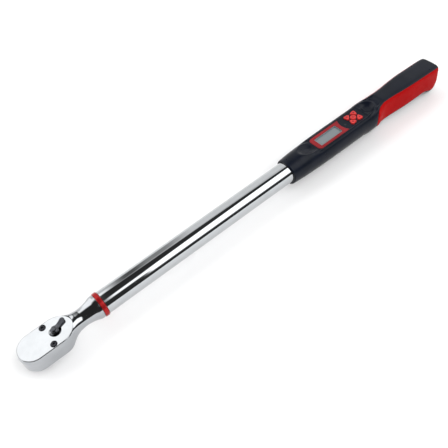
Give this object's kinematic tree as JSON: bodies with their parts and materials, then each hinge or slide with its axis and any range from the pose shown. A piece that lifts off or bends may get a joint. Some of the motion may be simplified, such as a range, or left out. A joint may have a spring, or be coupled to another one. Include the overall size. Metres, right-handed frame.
{
  "type": "digital torque wrench",
  "caption": "Long torque wrench with a ratcheting square drive, a display and keys on the casing, and a gripped handle with a hooked heel.",
  "frame": {"origin": "middle of the square drive's end face", "axes": "+X along the tube towards the handle, +Z away from the square drive, up through the top plate"},
  "size_m": [0.6517, 0.0412, 0.0446],
  "materials": {
    "chrome": "polished",
    "gunmetal": "blackened",
    "steel": "machined",
    "spring": "bright",
    "red_anodised": "anodised",
    "brass": "satin",
    "black_part": "satin",
    "casing": "fine satin",
    "grip_red": "satin",
    "bezel_red": "satin",
    "display": "gloss",
    "key_red": "satin",
    "board_green": "gloss",
    "cell": "gloss"
  },
  "bodies": {
    "frame": {"ratchet_head": "chrome", "head_cover": "chrome", "tube": "chrome", "cover_screw_left": "gunmetal", "cover_screw_right": "gunmetal", "casing_screw_front_left": "gunmetal", "casing_screw_front_right": "gunmetal", "casing_screw_middle_left": "gunmetal", "casing_screw_middle_right": "gunmetal", "casing_screw_heel": "gunmetal", "pawl_pin": "steel", "head_pin": "steel", "beam_ring_pin": "steel", "handle_bar_pin": "steel", "beam_ring": "steel", "handle_bar": "steel", "contact_spring_left": "spring", "contact_spring_right": "spring", "trim_band": "red_anodised", "strain_gauge_left": "brass", "strain_gauge_right": "brass", "contact_strip": "brass", "gauge_cable": "black_part", "battery_cable": "black_part", "buzzer": "black_part", "battery_tray": "black_part", "housing_upper": "casing", "housing_lower": "casing", "grip_panel_left": "grip_red", "grip_panel_right": "grip_red", "display_bezel": "bezel_red", "display_window": "display", "display_panel": "display", "indicator": "display", "circuit_board": "board_green", "battery_cell_left": "cell", "battery_cell_right": "cell"},
    "drive": {"drive_gear": "chrome", "drive_ball_spring": "spring"},
    "retaining_ball": {"drive_ball": "steel"},
    "lever": {"reversing_lever": "gunmetal", "pawl_plunger": "steel", "pawl_spring": "spring"},
    "pawl": {"pawl": "steel"},
    "battery_cover": {"battery_cover": "casing"},
    "key_centre": {"key_centre": "key_red"},
    "key_front_left": {"key_front_left": "key_red"},
    "key_front_right": {"key_front_right": "key_red"},
    "key_rear_left": {"key_rear_left": "key_red"},
    "key_rear_right": {"key_rear_right": "key_red"}
  },
  "joints": [
    {"name": "drive_turn", "type": "hinge", "parent": "frame", "child": "drive", "pos_m": [0, 0, 0.013], "axis": [0, 0, 1], "continuous": true},
    {"name": "ball_push", "type": "slide", "parent": "drive", "child": "retaining_ball", "axis": [0, 1, 0], "range_m": [0, 0.001], "stiffness_N_per_m": 1000, "springref_m": -0.001, "deforming": ["drive_ball_spring"]},
    {"name": "lever_turn", "type": "hinge", "parent": "frame", "child": "lever", "pos_m": [0.0271, 0, 0.035], "axis": [0, 0, 1], "range_deg": [-48, 0]},
    {"name": "pawl_rock", "type": "hinge", "parent": "frame", "child": "pawl", "pos_m": [0.0189, 0, 0.022], "axis": [0, 0, 1], "range_deg": [0, 8]},
    {"name": "battery_cover_swing", "type": "hinge", "parent": "frame", "child": "battery_cover", "pos_m": [0.6056, 0, 0.0078], "axis": [0, -1, 0], "range_deg": [0, 80]},
    {"name": "press_centre", "type": "slide", "parent": "frame", "child": "key_centre", "axis": [0, 0, -1], "range_m": [0, 0.001], "stiffness_N_per_m": 700, "springref_m": -0.0005},
    {"name": "press_front_left", "type": "slide", "parent": "frame", "child": "key_front_left", "axis": [0, 0, -1], "range_m": [0, 0.001], "stiffness_N_per_m": 700, "springref_m": -0.0005},
    {"name": "press_front_right", "type": "slide", "parent": "frame", "child": "key_front_right", "axis": [0, 0, -1], "range_m": [0, 0.001], "stiffness_N_per_m": 700, "springref_m": -0.0005},
    {"name": "press_rear_left", "type": "slide", "parent": "frame", "child": "key_rear_left", "axis": [0, 0, -1], "range_m": [0, 0.001], "stiffness_N_per_m": 700, "springref_m": -0.0005},
    {"name": "press_rear_right", "type": "slide", "parent": "frame", "child": "key_rear_right", "axis": [0, 0, -1], "range_m": [0, 0.001], "stiffness_N_per_m": 700, "springref_m": -0.0005}
  ],
  "couplings": [
    {"joint": "pawl_rock", "follows": "lever_turn", "ratio": -0.16667}
  ]
}
